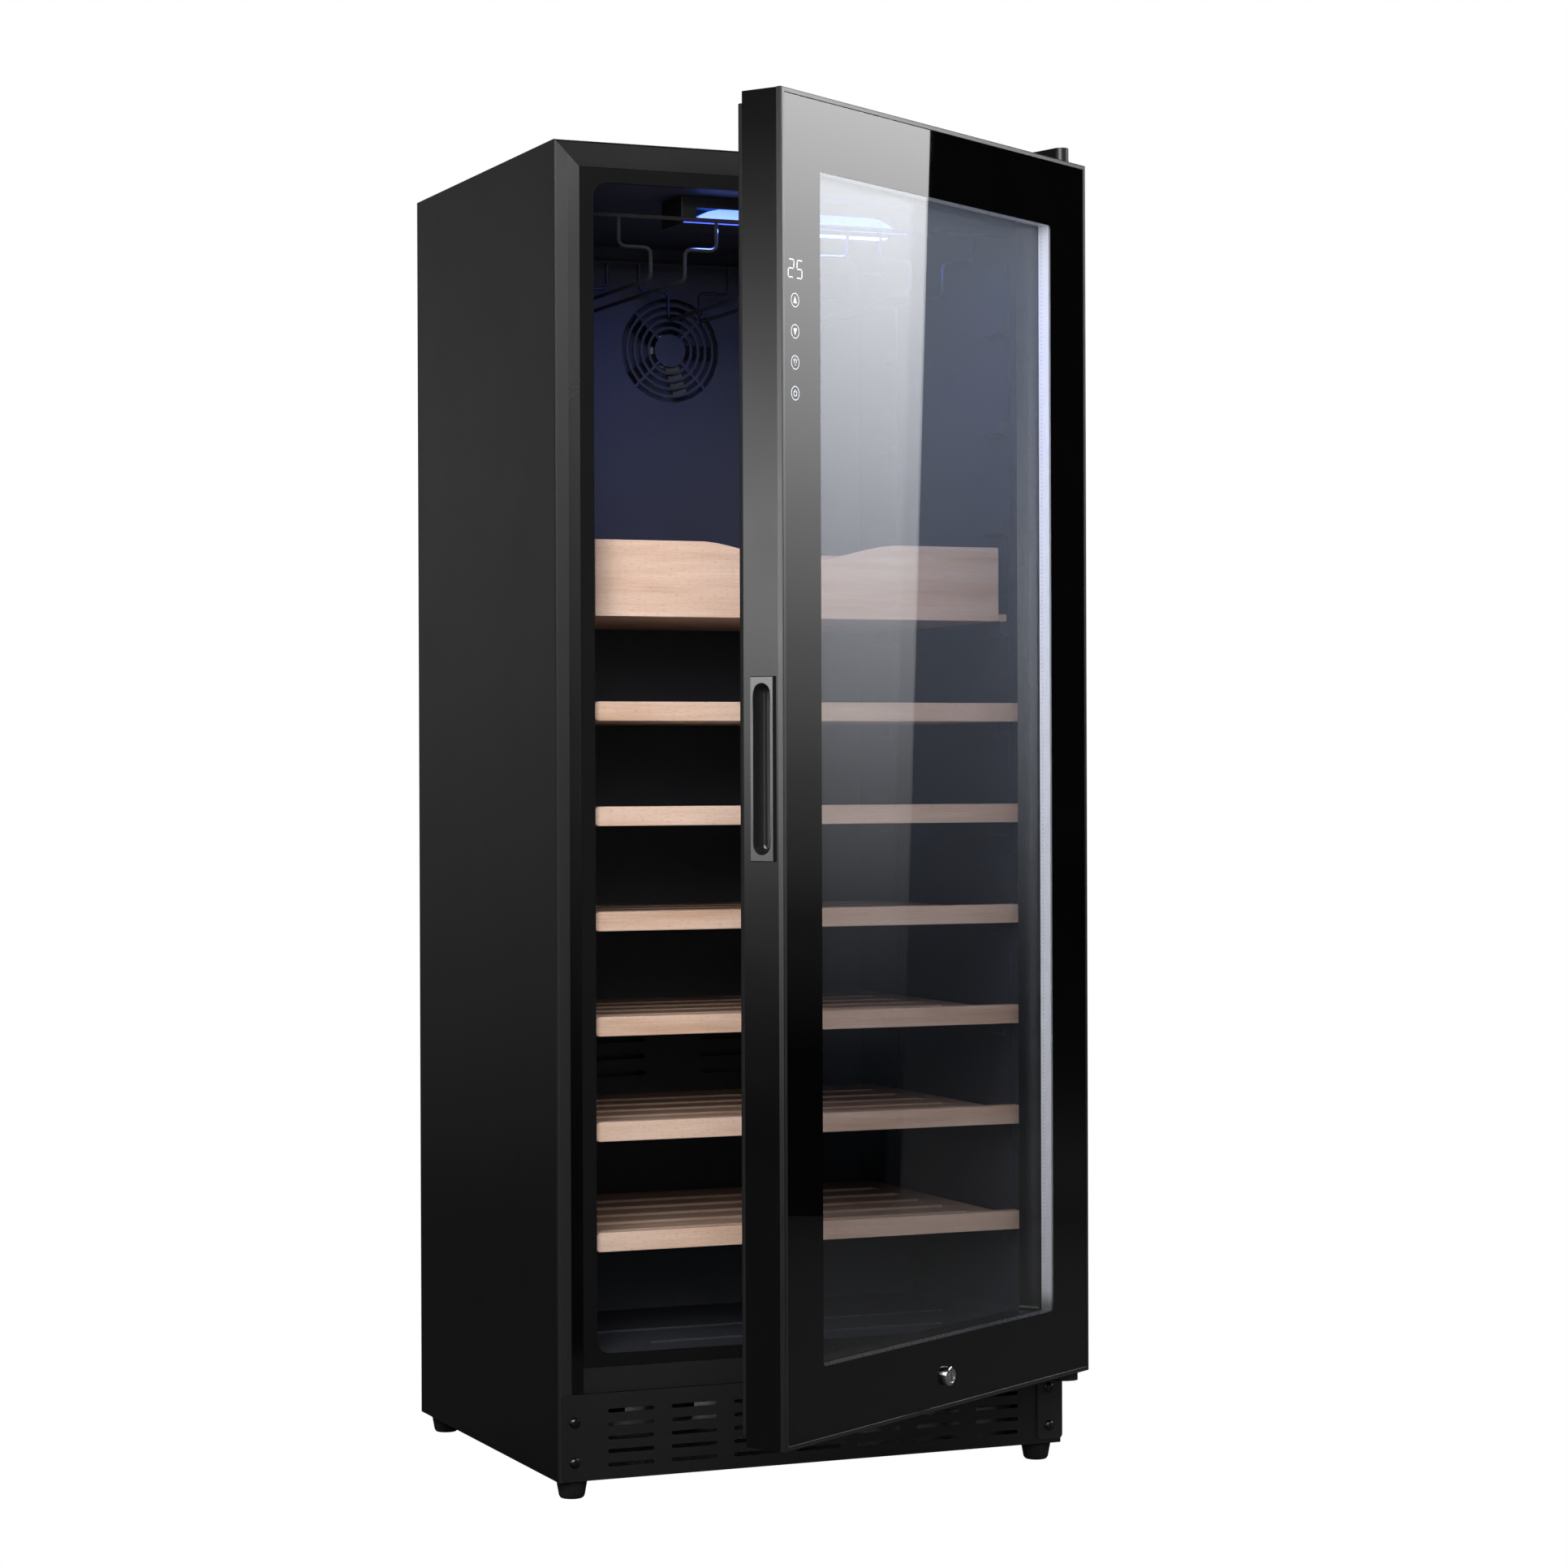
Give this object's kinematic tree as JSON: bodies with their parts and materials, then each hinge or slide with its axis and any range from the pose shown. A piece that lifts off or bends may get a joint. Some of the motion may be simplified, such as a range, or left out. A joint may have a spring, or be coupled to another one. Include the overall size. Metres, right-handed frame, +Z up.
{
  "type": "wine cooler",
  "caption": "Tall free-standing wine cooler: hinged glass door with recessed pull and lock, pull-out slatted shelves, display drawer, stemware rack, vented base and levelling feet.",
  "frame": {"origin": "on the floor, under the middle of the bounding box of the whole cooler with its door in the stored pose", "axes": "+X to the cabinet's hinge side as seen from the front, +Y from the front to the back of the cabinet, +Z up"},
  "size_m": [0.6056, 0.8542, 1.46],
  "materials": {
    "side_paint": "satin, fine texture",
    "front_paint": "satin",
    "galvanised": "galvanised",
    "liner_plastic": "satin",
    "black_plastic": "matt",
    "rubber": "matt",
    "foam": "rigid foam",
    "beech": "oiled beech",
    "door_glass": "tinted",
    "pane_glass": "clear",
    "aluminium": "satin",
    "handle_metal": "satin",
    "chrome": "polished",
    "compressor_paint": "gloss black",
    "lamp_lens": "frosted, lit",
    "screw_steel": "blackened",
    "rack_wire": "coated wire"
  },
  "bodies": {
    "cabinet": {"side_panel_left": "side_paint", "side_panel_right": "side_paint", "top_panel": "side_paint", "rear_panel": "galvanised", "machine_cover": "galvanised", "cord_gland": "rubber", "base_pan": "galvanised", "lower_rail": "front_paint", "kick_grille": "front_paint", "grille_screw_1": "screw_steel", "grille_screw_2": "screw_steel", "hinge_screw_1": "screw_steel", "hinge_screw_2": "screw_steel", "breaker_frame": "black_plastic", "inner_liner": "liner_plastic", "insulation_foam": "foam", "duct_cover": "liner_plastic", "evaporator": "aluminium", "evaporator_fan_motor": "galvanised", "lamp_housing": "black_plastic", "lamp_lens": "lamp_lens", "glass_rack": "rack_wire", "hinge_bracket_top": "galvanised", "hinge_cover_top": "black_plastic", "hinge_bracket_bottom": "front_paint", "compressor": "compressor_paint", "drip_tray": "black_plastic", "condenser_fan_shroud": "black_plastic", "condenser": "galvanised", "power_box": "galvanised"},
    "door": {"door_frame": "front_paint", "outer_glass": "door_glass", "inner_glass": "pane_glass", "spacer_bar": "aluminium", "door_gasket": "rubber", "handle_cup": "handle_metal", "display_module": "black_plastic", "lock_body": "chrome"},
    "lock": {"lock_plug": "chrome", "lock_cam": "galvanised"},
    "evaporator_blower": {"evaporator_fan": "black_plastic"},
    "condenser_blower": {"condenser_fan": "black_plastic"},
    "levelling_foot_front_left": {"foot_front_left": "rubber"},
    "levelling_foot_front_right": {"foot_front_right": "rubber"},
    "levelling_foot_rear_left": {"foot_rear_left": "rubber"},
    "levelling_foot_rear_right": {"foot_rear_right": "rubber"},
    "shelf_1": {"shelf_1_front": "beech", "shelf_1_rack": "beech"},
    "shelf_2": {"shelf_2_front": "beech", "shelf_2_rack": "beech"},
    "shelf_3": {"shelf_3_front": "beech", "shelf_3_rack": "beech"},
    "shelf_4": {"shelf_4_front": "beech", "shelf_4_rack": "beech"},
    "shelf_5": {"shelf_5_front": "beech", "shelf_5_rack": "beech"},
    "shelf_6": {"shelf_6_front": "beech", "shelf_6_rack": "beech"},
    "drawer": {"drawer_front": "beech", "drawer_box": "beech"}
  },
  "joints": [
    {"name": "door_hinge", "type": "hinge", "parent": "cabinet", "child": "door", "pos_m": [0.27925, -0.09395, 0.77], "axis": [0, 0, 1], "range_deg": [-32.6, 77.4]},
    {"name": "lock_turn", "type": "hinge", "parent": "door", "child": "lock", "pos_m": [0.05212, -0.26686, 0.1408], "axis": [-0.5388, 0.8425, 0], "range_deg": [0, 90]},
    {"name": "evaporator_fan_spin", "type": "hinge", "parent": "cabinet", "child": "evaporator_blower", "pos_m": [-0.00525, 0.37915, 1.2734], "axis": [0, 1, 0], "continuous": true},
    {"name": "condenser_fan_spin", "type": "hinge", "parent": "cabinet", "child": "condenser_blower", "pos_m": [-0.01675, 0.34715, 0.1078], "axis": [1, 0, 0], "continuous": true},
    {"name": "foot_turn_front_left", "type": "hinge", "parent": "cabinet", "child": "levelling_foot_front_left", "pos_m": [-0.28125, -0.03935, 0.01], "axis": [0, 0, 1], "continuous": true},
    {"name": "foot_turn_front_right", "type": "hinge", "parent": "cabinet", "child": "levelling_foot_front_right", "pos_m": [0.27075, -0.03935, 0.01], "axis": [0, 0, 1], "continuous": true},
    {"name": "foot_turn_rear_left", "type": "hinge", "parent": "cabinet", "child": "levelling_foot_rear_left", "pos_m": [-0.28125, 0.39465, 0.01], "axis": [0, 0, 1], "continuous": true},
    {"name": "foot_turn_rear_right", "type": "hinge", "parent": "cabinet", "child": "levelling_foot_rear_right", "pos_m": [0.27075, 0.39465, 0.01], "axis": [0, 0, 1], "continuous": true},
    {"name": "shelf_1_slide", "type": "slide", "parent": "cabinet", "child": "shelf_1", "axis": [0, -1, 0], "range_m": [0, 0.022]},
    {"name": "shelf_2_slide", "type": "slide", "parent": "cabinet", "child": "shelf_2", "axis": [0, -1, 0], "range_m": [0, 0.022]},
    {"name": "shelf_3_slide", "type": "slide", "parent": "cabinet", "child": "shelf_3", "axis": [0, -1, 0], "range_m": [0, 0.022]},
    {"name": "shelf_4_slide", "type": "slide", "parent": "cabinet", "child": "shelf_4", "axis": [0, -1, 0], "range_m": [0, 0.022]},
    {"name": "shelf_5_slide", "type": "slide", "parent": "cabinet", "child": "shelf_5", "axis": [0, -1, 0], "range_m": [0, 0.022]},
    {"name": "shelf_6_slide", "type": "slide", "parent": "cabinet", "child": "shelf_6", "axis": [0, -1, 0], "range_m": [0, 0.022]},
    {"name": "drawer_slide", "type": "slide", "parent": "cabinet", "child": "drawer", "axis": [0, -1, 0], "range_m": [0, 0.045]}
  ]
}
